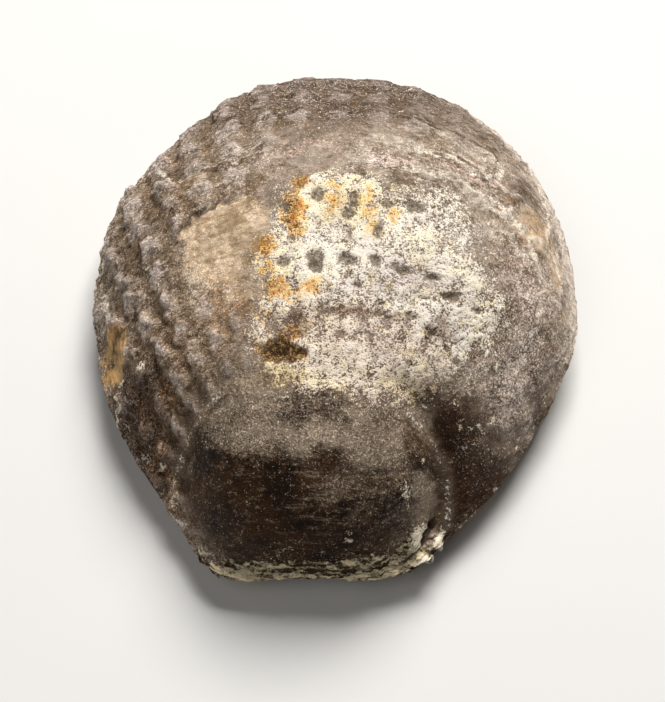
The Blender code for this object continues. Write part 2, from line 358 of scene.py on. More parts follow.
# Chips of bare white quartz
WHITE_CHIPS = [
    (-36.2, 2.4, 0.8, 0.9, 0.8), (10.4, 29.5, 0.4, 0.4, 0.9), (12.4, 36.8, 0.6, 0.4, 0.8),
    (-28.4, 2.7, 0.5, 0.6, 1), (-32.9, -12.8, 0.5, 1.2, 0.7), (-29.2, -12.3, 0.7, 0.3, 0.8),
    (-33.4, -16.4, 0.5, 1.8, 0.9), (-29, -23.5, 0.4, 0.4, 0.8), (-21.3, -23.4, 0.4, 0.5, 0.7),
    (26.4, 22, 0.3, 1.2, 0.7), (-7.4, -21.3, 0.5, 0.3, 0.7), (10.7, -20.6, 0.5, 0.4, 0.8),
    (12.2, -28.6, 0.4, 0.7, 0.7), (2.1, -39.2, 0.6, 0.4, 0.8), (20.4, -22, 1.1, 0.3, 0.6),
    (10.2, -33.5, 1, 1.2, 0.65), (-33, -17.9, 0.7, 0.5, 0.9), (-26.4, -26, 0.6, 0.4, 0.8),
    (-24.1, -31, 0.3, 1.8, 0.6), (-30.4, -9.4, 0.4, 0.4, 0.7), (-20.8, -10.4, 0.3, 0.3, 0.7),
    (18.1, -22.5, 0.4, 0.5, 0.8), (24.2, -20.5, 0.4, 0.5, 0.8), (13.3, -20.8, 0.35, 0.4, 0.8),
    (17.6, -19.7, 0.35, 0.4, 0.7), (23.8, -13.5, 0.35, 0.4, 0.8), (21.4, -22, 0.6, 0.3, 0.7),
]

# Rind along the hinge: how high it reaches, from left to right, and its layers' thickness
RIND_TOP = [
    (-24, 5.5), (-17, 6.8), (-12, 9.2), (-5, 10.2), (2, 10.6), (8, 9.4), (14, 10.5), (19, 8),
]
RIND_LAYER = 1.5
RIND_THIN_LAYER = 0.8

# Knob at the right end of the hinge, folds of white rind: place, half sizes and turn
KNOB_FOLDS = [(12.3, -37.2, 0.9, 2.6, -35), (15.2, -37, 0.9, 2.4, -30), (14.2, -39.3, 2.4, 0.8, 12)]
KNOB_HOLLOWS = [(13.7, -36.4, 0.7, 2.0, -32), (14.8, -38.2, 0.9, 0.5, 10)]


# ---------------------------------------------------------------- form of the stone


def smooth_step(value, start, end):
    """0 before start and 1 past end, with a soft change between."""
    share = np.clip((value - start) / (end - start), 0, 1)
    return share * share * (3 - 2 * share)


def bell(value, width):
    """1 where the value is 0, falling off on both sides within about this width."""
    return np.exp(-((value / width) ** 2))


def outline_radius(angle):
    """Distance from the middle to the outline, at a plan angle."""
    across = np.abs(np.cos(angle)) / HALF_WIDTH
    along = np.sin(angle)
    far = (across**FAR_ROUNDNESS + (np.abs(along) / FAR_REACH) ** FAR_ROUNDNESS) ** (
        -1 / FAR_ROUNDNESS
    )
    near = (across**2 + (along / NEAR_REACH) ** 2) ** -0.5
    limits = [np.where(along > 0, far, near)]
    for direction, distance in BREAKS.values():
        facing = np.cos(angle - np.radians(direction))
        limits.append(distance / np.maximum(facing, 0.2))
    return -np.log(sum(np.exp(-limit) for limit in limits))


def rim_height(y):
    return RIM_HEIGHT + RIM_RISE * y


def dome_height(share, y):
    """Height of the valve without its umbo; it sinks beside the hinge."""
    drop = 1 - SHOULDER_DROP * smooth_step(-y, SHOULDER_START, SHOULDER_END)
    rise = (1 - share**DOME_SWELL) ** DOME_FALL
    return rim_height(y) + (CROWN_HEIGHT - rim_height(y)) * rise * drop


def umbo_height(x, y):
    across = np.abs(x - UMBO_CENTRE[0]) / UMBO_HALF_WIDTH
    along = np.abs(y - UMBO_CENTRE[1]) / UMBO_HALF_LENGTH
    inside = np.clip(1 - across**UMBO_SQUARENESS - along**UMBO_SQUARENESS, 0, 1)
    return UMBO_BASE + (UMBO_TOP - UMBO_BASE) * inside**UMBO_FALL


def umbo_share(x, y, share):
    """1 on the umbo and 0 on the valve round it."""
    return 1 / (1 + np.exp(-(umbo_height(x, y) - dome_height(share, y)) / UMBO_BLEND))


def upper_height(x, y, share):
    """Upper face without ribs: dome and umbo together, with a groove where they cross."""
    dome = dome_height(share, y)
    umbo = umbo_height(x, y)
    beside = smooth_step(np.abs(x - UMBO_CENTRE[0]), GROOVE_INNER, GROOVE_OUTER)
    beside = beside * smooth_step(-y, GROOVE_START, GROOVE_FULL)
    skin = UMBO_BLEND * np.logaddexp(dome / UMBO_BLEND, umbo / UMBO_BLEND)
    skin = skin - GROOVE_DEPTH * beside * bell(umbo - dome, GROOVE_WIDTH)
    return rim_height(y) + (skin - rim_height(y)) * np.sqrt(1 - share**RIM_SHARPNESS)


def lower_height(y, share):
    """Underside: flat in the middle, curling up to the rim."""
    curl = np.clip((share - FLAT_SHARE) / (1 - FLAT_SHARE), 0, 1)
    return rim_height(y) * (1 - (1 - curl**2) ** BELLY_CURVE)


def spread(ball):
    """Where each point of the unit ball lies: plan angle, share of the outline, whether it is
    on the upper face, and its ring, which crowds less towards the rim than the share does.
    """
    angle = np.arctan2(ball[:, 1], ball[:, 0])
    tilt = np.arccos(np.clip(ball[:, 2], -1, 1))
    upper = tilt <= RIM_TILT
    top = np.sin(tilt / 2) / np.sin(RIM_TILT / 2)
    under = np.sin((np.pi - tilt) / 2) / np.sin((np.pi - RIM_TILT) / 2)
    rings = np.clip(np.where(upper, top, under), 0, 1)
    share = (1 - RIM_CROWDING) * rings + RIM_CROWDING * np.sin(rings * np.pi / 2)
    return angle, share, upper, rings


# ---------------------------------------------------------------- patterns on it


def pattern_offset(shift):
    """Moves a pattern to another part of its noise, so that no two are alike."""
    return Vector((shift, 0.37 * shift, -0.61 * shift))


def clouds(points, size, octaves=4, roughness=0.8, shift=0):
    """Cloudy values of about -1 to 1, with patches of this size, one value a point."""
    offset = pattern_offset(shift)
    return np.array(
        [noise.fractal(p / size + offset, roughness, 2.0, octaves) for p in points]
    )


def grains(points, size, shift=0):
    """Rounded grains: 1 at the middle of each, down to 0 where they meet."""
    offset = pattern_offset(shift)
    reach = np.array([noise.voronoi(p / size + offset)[0][0] for p in points])
    return np.clip(1 - (reach / 0.65) ** 2, 0, 1)


def oval(x, y, middle_x, middle_y, half_x, half_y, turn=0.0):
    """Distance from an oval's middle, where 1 is its edge."""
    cosine = math.cos(math.radians(turn))
    sine = math.sin(math.radians(turn))
    across = ((x - middle_x) * cosine + (y - middle_y) * sine) / half_x
    along = ((y - middle_y) * cosine - (x - middle_x) * sine) / half_y
    return np.hypot(across, along)


def patches(x, y, places, soft=0.4):
    """Largest strength of soft oval patches."""
    total = np.zeros_like(x)
    for middle_x, middle_y, half_x, half_y, *strength in places:
        reach = oval(x, y, middle_x, middle_y, half_x, half_y)
        patch = 1 - smooth_step(reach, 1 - soft, 1 + soft)
        total = np.maximum(total, patch * (strength[0] if strength else 1))
    return total


def turned_ovals(x, y, places, inner):
    """1 inside any of some turned ovals, soft from the inner share to past the edge."""
    reach = np.minimum.reduce([oval(x, y, *place) for place in places])
    return 1 - smooth_step(reach, inner, 1.3)


def line_distance(x, y, corners, closed=False):
    """Distance to a line through the corners."""
    nearest = np.full_like(x, 1e9)
    ends = corners[1:] + corners[:1] if closed else corners[1:]
    for (from_x, from_y), (to_x, to_y) in zip(corners, ends):
        run_x, run_y = to_x - from_x, to_y - from_y
        along = ((x - from_x) * run_x + (y - from_y) * run_y) / (run_x**2 + run_y**2)
        along = np.clip(along, 0, 1)
        away = np.hypot(x - from_x - along * run_x, y - from_y - along * run_y)
        nearest = np.minimum(nearest, away)
    return nearest


def nearest_line(x, y, lines):
    return np.minimum.reduce([line_distance(x, y, corners) for corners in lines])


def inside_outline(x, y, corners):
    """Distance to a closed outline, positive inside it."""
    crossings = np.zeros_like(x)
    for (from_x, from_y), (to_x, to_y) in zip(corners, corners[1:] + corners[:1]):
        spans = (from_y > y) != (to_y > y)
        at = from_x + (y - from_y) * (to_x - from_x) / (to_y - from_y + 1e-9)
        crossings += spans & (x < at)
    return np.where(crossings % 2 == 1, 1, -1) * line_distance(x, y, corners, closed=True)


class Surface:
    """The stone's points before relief, with the coordinates that its patterns follow.

    Side is the angle at the beak, in degrees, and reach is the distance from it. Crest is 1 on
    a rib and -1 in a furrow. Row is the reach with the wander of the growth rows, and lump is
    1 on such a row and -1 between two.
    """

    def __init__(self, base, normal, angle, share, upper):
        self.points = [Vector(p) for p in base]
        self.x, self.y, self.z = base.T
        self.normal = normal
        self.share = share
        self.upper = upper.astype(float)
        self.umbo = umbo_share(self.x, self.y, share) * self.upper
        self.inward = outline_radius(angle) * (1 - share)
        self.drift = clouds(self.points, size=9, octaves=3, shift=11)
        self.fray_x = clouds(self.points, size=2.4, roughness=0.6, shift=3)
        self.fray_y = clouds(self.points, size=2.4, roughness=0.6, shift=29)
        self.breaks = clouds(self.points, size=4.5, octaves=3, roughness=0.7, shift=37)
        self.side = np.degrees(np.arctan2(self.x - BEAK[0], self.y - BEAK[1]))
        self.reach = np.hypot(self.x - BEAK[0], self.y - BEAK[1])
        right_lean = np.maximum(self.reach - RIGHT_LEAN_START, 0)
        lean = np.where(self.side < 0, self.reach - LEFT_LEAN_START, right_lean)
        bent = (self.side + 0.7 * self.drift + self.fray_x) * (1 + RIB_LEAN * lean)
        self.crest = -np.cos(2 * np.pi * bent / RIB_ANGLE)
        self.row = self.reach + 0.9 * self.drift - 0.7 * self.crest + 1.1 * self.fray_y
        self.lump = -np.cos(2 * np.pi * self.row / ROW_SPACING)

    def frayed(self, amount):
        """Plan place with its small wanderings, for ragged edges."""
        return self.x + amount * self.fray_x, self.y + amount * self.fray_y

    def capped(self, distance):
        """Distance to a line, up to where the finish stops looking for one."""
        return np.where(self.upper > 0, np.minimum(distance, FAR_FROM_LINE), FAR_FROM_LINE)


# ---------------------------------------------------------------- relief


def rib_strength(s):
    """How high the ribs stand: clear on the left flank, faint on the crown and the right."""
    left = smooth_step(-s.x, 11, 24)
    margin = smooth_step(s.share, 0.5, 0.85)
    right = smooth_step(s.side, 16, 36)
    height = 0.06 + 0.14 * left + 0.21 * margin * (1 - 0.8 * right)
    height = height * np.clip(1 + 1.3 * s.breaks, 0.2, 1.8)
    inside = 1 - smooth_step(np.abs(s.side), RIB_FAN, RIB_FAN_END)
    inside = inside * smooth_step(s.reach, 14, 26)
    return height * inside * (1 - s.umbo) * (1 - 0.6 * smooth_step(s.share, 0.95, 1))


def growth_relief(s):
    """Rows of low lumps on the ribs, and the steps where growth once paused."""
    lumps = 0.5 * (1 + s.crest) * s.lump
    lift = rib_strength(s) * (s.crest + LUMP_SHARE * lumps)
    dark_step = np.zeros_like(s.x)
    pale_step = np.zeros_like(s.x)
    for at, start, end, height, is_pale in GROWTH_STEPS.values():
        present = smooth_step(s.side, start - 3, start + 3)
        present = present * (1 - smooth_step(s.side, end - 3, end + 3))
        present = present * smooth_step(s.breaks, -0.3, 0.1)
        past = s.row - at
        rising = np.clip(1 + past / LEDGE_RUN, 0, 1) ** 2
        ledge = np.where(past < 0, rising, 1 - smooth_step(past, 0, LEDGE_DROP))
        lift += height * present * ledge
        if is_pale:
            pale_step = np.maximum(pale_step, present * bell(past, 0.45))
        else:
            dark_step = np.maximum(dark_step, present * bell(past - 0.4, 0.42))
    lined = smooth_step(s.side, -6, 14) * smooth_step(s.reach, 46, 58) * (1 - s.umbo)
    fine_lines = np.sin(2 * np.pi * s.row / FINE_LINE_SPACING + 2 * s.fray_x)
    lift += FINE_LINE_HEIGHT * lined * fine_lines
    return lift, dark_step, pale_step, lined


def crust_cover(s, inside, dark_step, bowl, halo, hole):
    """How thickly the crust covers: less in furrows, pits and bare patches."""
    below = THIN_CRUST_ROW - s.row
    furrow = smooth_step(-s.crest, -0.2, 0.9)
    cover = 0.6 - 0.04 * smooth_step(below, 0, 1.5) + 0.04 * smooth_step(below, 8, 11)
    cover -= furrow * (0.08 + 0.2 * bell(s.row - BARE_FURROW_ROW, 1.2))
    cover += 0.04 * (1 - furrow)
    blur = 1.6 + 2.6 * smooth_step(s.frayed(1.8)[0], 8, 20)
    cover = cover * smooth_step(inside, -blur, blur)
    cover += 0.12 * smooth_step(inside, -7, -1) * (1 - s.umbo)
    x, y = s.frayed(1.5)
    within = smooth_step(inside, -2, 0.5)
    cover += 0.18 * patches(x, y, THICK_PATCHES, 0.8) * within + 0.16 * halo * within
    cover -= 0.3 * patches(x, y, BARE_PATCHES, 0.7) + 0.35 * dark_step
    cover -= 0.35 * smooth_step(bowl, 0, 0.6) + 0.6 * smooth_step(hole, 0.15, 0.5)
    return np.clip(cover, 0, 1) * s.upper


def crust_relief(s, dark_step):
    """Raised crust, its pits, and the hole at its left."""
    inside = inside_outline(*s.frayed(1.8), CRUST_OUTLINE)
    x, y = s.frayed(0.6)
    bowl = np.zeros_like(x)
    halo = np.zeros_like(x)
    for *pit, strength in PITS:
        out = oval(x, y, *pit)
        bowl = np.maximum(bowl, np.clip(1.3 - out, 0, 1) * strength)
        halo = np.maximum(halo, bell(out - 1.55, 0.4) * strength)
    out = np.minimum.reduce([oval(*s.frayed(1.5), *middle) for middle in HOLE])
    hole = np.clip(1.4 - out, 0, 1)
    cover = crust_cover(s, inside, dark_step, bowl, halo, hole)
    bowl = bowl * s.upper
    hole = hole * s.upper
    lift = CRUST_HEIGHT * cover - PIT_DEPTH * smooth_step(bowl, 0, 0.9)
    lift = lift - HOLE_DEPTH * smooth_step(hole, 0, 1.1)
    return lift, cover, bowl, hole


def rind_relief(s):
    """Layered rind on the broken hinge wall, and the folded knob at its right end."""
    top = np.interp(s.x, *zip(*RIND_TOP)) + 1.2 * s.fray_x
    cover = smooth_step(-s.normal[:, 1], 0.2, 0.5) * smooth_step(-s.y, 36, 39)
    cover = cover * smooth_step(s.z, 3.2, 4.6) * (1 - smooth_step(s.z, top - 0.5, top + 0.3))
    layers = np.sin(2 * np.pi * (s.z + 0.9 * s.fray_x + 0.04 * s.x) / RIND_LAYER)
    layers += 0.6 * np.sin(2 * np.pi * (s.z + 0.7 * s.fray_y) / RIND_THIN_LAYER)
    fold = turned_ovals(*s.frayed(0.5), KNOB_FOLDS, 0.3) * s.upper
    hollow = turned_ovals(*s.frayed(0.5), KNOB_HOLLOWS, 0.5) * s.upper
    lift = cover * (0.35 + 0.2 * layers + 0.4 * s.fray_x)
    lift += FOLD_HEIGHT * fold - HOLLOW_DEPTH * hollow
    return lift, cover, fold, hollow


def tan_window(s):
    """Smooth tan window, blurred at its lower side, and the broken lip round it, which also gets a
    painted shadow line.
    """
    x, y = s.frayed(EDGE_FRAY)
    blur = 1.2 + 3.2 * smooth_step(3 - y, -3, 5)
    tan = smooth_step(inside_outline(x, y, TAN_OUTLINE) / blur, -1, 1.4) * s.upper
    tan = tan * (1 - 0.45 * patches(x, y, TAN_GREY, 0.8))
    tan = tan * (1 - 0.55 * smooth_step(2 - y, 0, 9))
    lip = bell(line_distance(x, y, TAN_LIP), 0.45) * s.upper
    return tan, lip


def right_margin(s):
    """Where the margin is smooth, its flange, and the pale line along the flange."""
    margin = smooth_step(s.side, 10, 20) * (1 - smooth_step(s.side, 44, 54))
    inward = s.inward + 0.7 * s.fray_x
    flange = margin * (1 - smooth_step(inward, FLANGE_FULL, FLANGE_WIDTH)) * s.upper
    line = margin * s.upper * bell(inward - FLANGE_WIDTH, 0.35)
    return margin, flange, line


def umbo_bloom_and_highlight(s):
    """How far a point is past the lower edge of the bloom, which is partly painted highlight, and
    how thick the bloom is there.
    """
    x, y = s.frayed(EDGE_FRAY)
    past = s.y + 1.2 * s.breaks - np.interp(s.x, *zip(*BLOOM_HIGHLIGHT_EDGE))
    bloom_and_highlight = smooth_step(past, -2.2 - 3 * smooth_step(s.x, -4, 4), 3.6)
    bloom_and_highlight = bloom_and_highlight * (1 - 0.4 * smooth_step(s.x, 7, 14)) * smooth_step(s.x, -22, -17)
    bloom_and_highlight = np.maximum(bloom_and_highlight, patches(x, y, BLOOM_HIGHLIGHT_PATCHES, 0.8))
    return past, np.clip(bloom_and_highlight - patches(x, y, DULL_PATCHES, 0.8), -0.6, 1.3)


def umbo_relief(s, ridge, past_highlight_edge):
    """Uneven umbo, swollen where its grey bloom and painted highlight begin, with a ridge and a
    trench at each side.
    """
    lift = RIDGE_HEIGHT * bell(ridge, 0.8)
    lift = lift - TRENCH_DEPTH * bell(ridge - 2, 0.9) * (1 - s.umbo)
    swell = smooth_step(past_highlight_edge, -0.9, 0.9) * (1 - smooth_step(past_highlight_edge, 2, 9))
    uneven = clouds(s.points, size=9, octaves=3, shift=53)
    return lift, UMBO_SWELL * s.umbo * (uneven + swell)


def stone_texture(s, rough, cover, smooth, lined):
    """Rough stone, sugary grains, and wrinkles on the left flank and the outer margin."""
    sugar = SUGAR_HEIGHT + CRUST_SUGAR_HEIGHT * cover
    sugar = sugar * grains(s.points, SUGAR_SIZE, shift=7)
    lift = STONE_ROUGHNESS * rough * (1 - 0.7 * smooth) * (1 - 0.45 * lined)
    lift += sugar * (1 - 0.8 * smooth)
    folds = clouds(s.points, size=1.7, octaves=3, roughness=0.9, shift=83)
    wrinkle = np.clip(1 - np.abs(folds) * 4, 0, 1)
    flank = smooth_step(-s.x, 6, 18) + 0.6 * smooth_step(s.share, 0.6, 0.85)
    lift -= WRINKLE_DEPTH * wrinkle * np.clip(flank, 0, 1) * (1 - smooth) * s.upper
    return lift


def stain_masks(s):
    """Stains of the upper face, whose smoke patches are partly painted shade, and the smoky and
    amber clouds of the underside.
    """
    x, y = s.frayed(EDGE_FRAY)
    masks = {
        name: patches(x, y, places, soft) * s.upper for name, (soft, places) in STAINS.items()
    }
    cloud = clouds(s.points, size=16, octaves=3, shift=91)
    masks["smoke"] += 0.7 * smooth_step(cloud, -0.1, 0.35) * (1 - s.upper)
    masks["amber"] += 0.5 * smooth_step(-cloud, 0.05, 0.4) * (1 - s.upper)
    return masks


def stone_relief(s):
    """All relief along the normals, with the masks that the finish reads."""
    growth, dark_step, pale_step, lined = growth_relief(s)
    crust, cover, bowl, hole = crust_relief(s, dark_step)
    rind, rind_cover, fold, hollow = rind_relief(s)
    tan, lip = tan_window(s)
    window = patches(*s.frayed(0.5), [AMBER_WINDOW], 0.5) * s.upper
    smooth = np.maximum(np.maximum(tan, window), 0.7 * s.umbo)
    margin, flange, flange_line = right_margin(s)
    ridge = nearest_line(*s.frayed(0.3), UMBO_RIDGES)
    past_highlight_edge, bloom_and_highlight = umbo_bloom_and_highlight(s)
    ridges, umbo = umbo_relief(s, ridge, past_highlight_edge)
    rough = clouds(s.points, size=3.2, octaves=6, roughness=0.7, shift=41)

    lift = (growth + ridges) * (1 - 0.8 * cover) * (1 - 0.8 * smooth) + crust + rind + umbo
    lift += stone_texture(s, rough, cover, smooth, lined)
    lift -= TAN_DEPTH * tan + LIP_DEPTH * lip * (1 - cover)
    lift -= AMBER_WINDOW_DEPTH * window + FLANGE_DEPTH * flange
    rim = smooth_step(s.share, 0.9, 1) * (1 - rind_cover)
    chips = clouds(s.points, size=3, roughness=0.6, shift=67)
    chips = np.clip(chips - 0.22, 0, 1) * (1 - 0.8 * margin)
    teeth = clouds(s.points, size=1.1, octaves=3, roughness=0.5, shift=71)
    lift -= rim * (CHIP_DEPTH * chips - TOOTH_HEIGHT * teeth)
    lift = np.where(s.upper > 0, lift, np.minimum(lift, 0) - 0.25 * np.abs(rough) * rim)
    white_chips = patches(*s.frayed(0.9), WHITE_CHIPS, 0.6) * s.upper
    lift += WHITE_CHIP_HEIGHT * white_chips

    masks = stain_masks(s)
    rim_frost = 0.45 * smooth_step(s.share, 0.93, 1) * (1 - 0.8 * margin) * s.upper
    masks["frost"] = np.maximum(masks["frost"], rim_frost)
    top_ribs = smooth_step(s.share, 0.5, 0.75) * (1 - smooth_step(s.side, 0, 22))
    ribbed = np.clip(smooth_step(-s.x, 8, 17) + 1.15 * top_ribs, 0, 1)
    rim_chips = 0.6 * rim * smooth_step(chips, 0.05, 0.2) * s.upper * (1 - margin)
    masks.update({
        "crust": cover,
        "pit": bowl,
        "hole": hole,
        "tan": tan,
        "window": window,
        "umbo": s.umbo,
        "bloom_and_highlight": bloom_and_highlight,
        "rind": rind_cover,
        "fold": fold,
        "hollow": hollow,
        "crest": 0.5 + 0.3 * s.crest + 0.16 * (1 + s.crest) * s.lump,
        "ribbed": ribbed * (1 - s.umbo) * (1 - smooth),
        "lined": lined,
        "flange": flange,
        "chip": np.maximum(white_chips, rim_chips),
        # Dark lines past the steps' ledges, and painted shadow along the tan window's lip
        "step_line_and_lip_shadow": np.maximum(dark_step, lip),
        "ridge": np.maximum(pale_step, 0.8 * flange_line),
        "umbo_edge": s.capped(ridge),
        "pale_line": s.capped(nearest_line(*s.frayed(0.3), PALE_LINES)),
        "dark_line": s.capped(nearest_line(*s.frayed(0.4), DARK_LINES)),
    })
    return lift, masks


# ---------------------------------------------------------------- mesh


def ball_mesh():
    """A ball of even square faces, from a cube."""
    mesh_edit = bmesh.new()
    bmesh.ops.create_cube(mesh_edit, size=2)
    bmesh.ops.subdivide_edges(
        mesh_edit, edges=mesh_edit.edges, cuts=BALL_CUTS, use_grid_fill=True
    )
    corner = np.array([point.co for point in mesh_edit.verts])
    even = np.tan(corner * np.pi / 4)
    ball = even / np.linalg.norm(even, axis=1, keepdims=True)
    return mesh_edit, ball


def lay_flat_map(mesh, angle, rings, upper):
    """UV map: the upper face as a large disc, the underside as a small one in a corner."""
    uv_map = mesh.uv_layers.new(name="OFBake")
    corner_point = np.empty(len(mesh.loops), dtype=np.int32)
    mesh.loops.foreach_get("vertex_index", corner_point)
    on_top = upper[corner_point].reshape(-1, 4).all(axis=1)
    on_top = np.repeat(on_top, 4)
    rings = rings[corner_point]
    under_rings = np.where(upper[corner_point], 1, rings)
    spot = np.where(on_top, rings * TOP_DISC[0], under_rings * UNDER_DISC[0])
    middle = np.where(on_top, TOP_DISC[1], UNDER_DISC[1])
    u = middle + spot * np.cos(angle[corner_point])
    v = middle + spot * np.sin(angle[corner_point])
    uv_map.data.foreach_set("uv", np.stack([u, v], 1).astype(np.float32).ravel())


def make_stone():
    mesh_edit, ball = ball_mesh()
    angle, share, upper, rings = spread(ball)
    x = share * outline_radius(angle) * np.cos(angle)
    y = share * outline_radius(angle) * np.sin(angle)
    z = np.where(upper, upper_height(x, y, share), lower_height(y, share))
    base = np.stack([x, y, z], 1)
    for point, place in zip(mesh_edit.verts, base):
        point.co = place
    mesh = bpy.data.meshes.new("scallop_stone")
    mesh_edit.to_mesh(mesh)
    mesh_edit.free()
    mesh.update()
    normal = np.empty(len(mesh.vertices) * 3, dtype=np.float32)
    mesh.vertices.foreach_get("normal", normal)
    normal = normal.reshape(-1, 3).astype(float)
    lift, masks = stone_relief(Surface(base, normal, angle, share, upper))
    place = base + normal * lift[:, None]
    place[:, 2] = np.maximum(place[:, 2], 0)
    mesh.vertices.foreach_set("co", (place * MM).astype(np.float32).ravel())
    mesh.update()
    mesh.shade_smooth()
    for name, values in masks.items():
        layer = mesh.attributes.new(name, "FLOAT", "POINT")
        layer.data.foreach_set("value", values.astype(np.float32))
    lay_flat_map(mesh, angle, rings, upper)
    stone = bpy.data.objects.new("scallop_stone", mesh)
    bpy.context.scene.collection.objects.link(stone)
    return stone


# ---------------------------------------------------------------- nodes of a finish


def paint(red, green, blue):
    """A screen colour of 0 to 255 as the linear colour that a shader takes."""
    linear = [
        c / 12.92 if c <= 0.04045 else ((c + 0.055) / 1.055) ** 2.4
        for c in (red / 255, green / 255, blue / 255)
    ]
    return (*linear, 1.0)


class Finish:
    """A material's nodes, joined a step at a time."""

    def __init__(self, name):
        self.material = bpy.data.materials.new(name)
        self.material.use_nodes = True
        self.tree = self.material.node_tree
        self.shader = self.tree.nodes["Principled BSDF"]
        self.place = self.put("ShaderNodeTexCoord").outputs["Object"]

    def put(self, kind, values=None, **settings):
        node = self.tree.nodes.new(kind)
        for name, value in settings.items():
            setattr(node, name, value)
        for socket, value in (values or {}).items():
            if isinstance(value, bpy.types.NodeSocket):
                self.tree.links.new(value, node.inputs[socket])
            else:
                node.inputs[socket].default_value = value
        return node

    def drive(self, socket, value):
        self.tree.links.new(value, self.shader.inputs[socket])

    def mask(self, name):
        return self.put("ShaderNodeAttribute", attribute_name=name).outputs["Fac"]

    def math(self, operation, first, second=0.0, clamp=False):
        values = {0: first, 1: second}
        return self.put("ShaderNodeMath", values, operation=operation, use_clamp=clamp).outputs[0]

    def plus(self, first, second, clamp=False):
        return self.math("ADD", first, second, clamp)

    def minus(self, first, second):
        return self.math("SUBTRACT", first, second)

    def times(self, first, second):
        return self.math("MULTIPLY", first, second)

    def larger(self, first, second):
        return self.math("MAXIMUM", first, second)

    def fade(self, value, start, end, low=0.0, high=1.0):
        """Goes softly from low to high while the value goes from start to end."""
        values = {0: value, 1: start, 2: end, 3: low, 4: high}
        node = self.put("ShaderNodeMapRange", values, interpolation_type="SMOOTHSTEP")
        return node.outputs[0]

    def between(self, value, start, end, soft):
        """1 between start and end, with soft edges."""
        rise = self.fade(value, start - soft, start + soft)
        return self.times(rise, self.fade(value, end + soft, end - soft))

    def thin_line(self, value, at, width):
        return self.fade(self.math("ABSOLUTE", self.minus(value, at)), width, 0.0)

    def mix(self, share, under, over, blend="MIX"):
        values = {0: share, 6: under, 7: over}
        node = self.put("ShaderNodeMix", values, data_type="RGBA", blend_type=blend)
        return node.outputs[2]

    def coat(self, under, over, value, start, end, most=1.0):
        """Lays a colour over another, from none at start to most of it at end."""
        return self.mix(self.fade(value, start, end, 0.0, most), under, over)

    def tint(self, colour, amount, tint):
        return self.mix(amount, colour, self.mix(1.0, colour, tint, "MULTIPLY"))

    def shade(self, colour, amount):
        grey = self.put("ShaderNodeCombineColor", {0: amount, 1: amount, 2: amount}).outputs[0]
        return self.mix(1.0, colour, grey, "MULTIPLY")

    def vary(self, colour, change):
        """Lighter where the change is above 0 and darker where it is below."""
        return self.shade(colour, self.plus(1.0, change))

    def cloud(self, size, detail=4.0, roughness=0.6, stretch=None, turn=0.0):
        where = self.place
        if stretch:
            values = {0: where, 2: (0, 0, turn), 3: stretch}
            where = self.put("ShaderNodeMapping", values).outputs[0]
        values = {"Vector": where, "Scale": 1 / (size * MM), "Detail": detail,
                  "Roughness": roughness}
        return self.put("ShaderNodeTexNoise", values).outputs[0]

    def cells(self, size, output="Distance"):
        values = {"Vector": self.place, "Scale": 1 / (size * MM)}
        return self.put("ShaderNodeTexVoronoi", values).outputs[output]

    def glint_dots(self, size, radius, sparse):
        """Small dots at the middles of a few cells."""
        dot = self.fade(self.cells(size), radius, radius * 0.6)
        pick = self.put("ShaderNodeSeparateColor", {0: self.cells(size, "Color")}).outputs[0]
        return self.times(dot, self.fade(pick, sparse, sparse + 0.02))


# ---------------------------------------------------------------- finish of the stone

STONE_DARK = paint(118, 99, 81)
STONE = paint(159, 141, 124)
STONE_PALE = paint(208, 193, 178)
# Smoky brown, laid where the agate is smoky and where shade is painted
SMOKE_AND_SHADE = paint(58, 37, 18)
SMOKE_AND_SHADE_TINT = (0.64, 0.53, 0.42, 1)
LAVENDER = paint(178, 164, 156)
FURROW = paint(96, 71, 39)
PINK = paint(196, 168, 154)
TAN = paint(152, 128, 99)
TAN_PALE = paint(217, 193, 165)
AMBER = paint(172, 122, 72)
AMBER_DARK = paint(84, 56, 32)
AMBER_TINT = (0.84, 0.66, 0.44, 1)
HONEY = paint(178, 149, 117)
# Window colours are lighter than the amber itself: painted glow of light shining through it
WINDOW = paint(226, 184, 126)
WINDOW_DARK = paint(188, 144, 92)
UMBO_DARK = paint(26, 13, 4)
UMBO_WARM = paint(64, 40, 16)
# Grey of the umbo's bloom, which is partly painted highlight, and of its pale scratches and ridges
UMBO_GREY_AND_HIGHLIGHT = paint(152, 136, 118)
FROST = paint(232, 220, 204)
FROST_TINT = (0.93, 0.92, 1.0, 1)
SPECK = paint(222, 216, 206)
CRACK_AND_SHADOW = paint(70, 54, 40)
RIND = paint(250, 232, 194)
RIND_DARK = paint(66, 50, 32)
WHITE = paint(250, 244, 230)
CRUST_GAP = paint(122, 106, 92)
CRUST_LILAC = paint(180, 166, 154)
CRUST_PALE = paint(228, 215, 196)
CREAM = paint(255, 249, 232)
PINK_TINT = (1.0, 0.93, 0.88, 1)
LAVENDER_TINT = (0.8, 0.77, 0.84, 1)
BROWN_TINT = (0.56, 0.49, 0.43, 1)
OCHRE_TINT = (0.92, 0.63, 0.25, 1)
RUST_TINT = (0.62, 0.3, 0.07, 1)
YELLOW_TINT = (1.0, 0.93, 0.66, 1)
OLIVE_TINT = (0.42, 0.4, 0.22, 1)
PIT = paint(144, 132, 116)
PIT_DARK = paint(92, 82, 68)
# The hole's darkest colour partly stands for painted shade in it
HOLE_DARK = paint(50, 33, 15)
HOLE_BROWN = paint(104, 76, 44)
HOLE_GOLD = paint(190, 158, 108)
# White of the quartz chips and of the painted glints
QUARTZ_AND_GLINT_WHITE = paint(255, 240, 214)

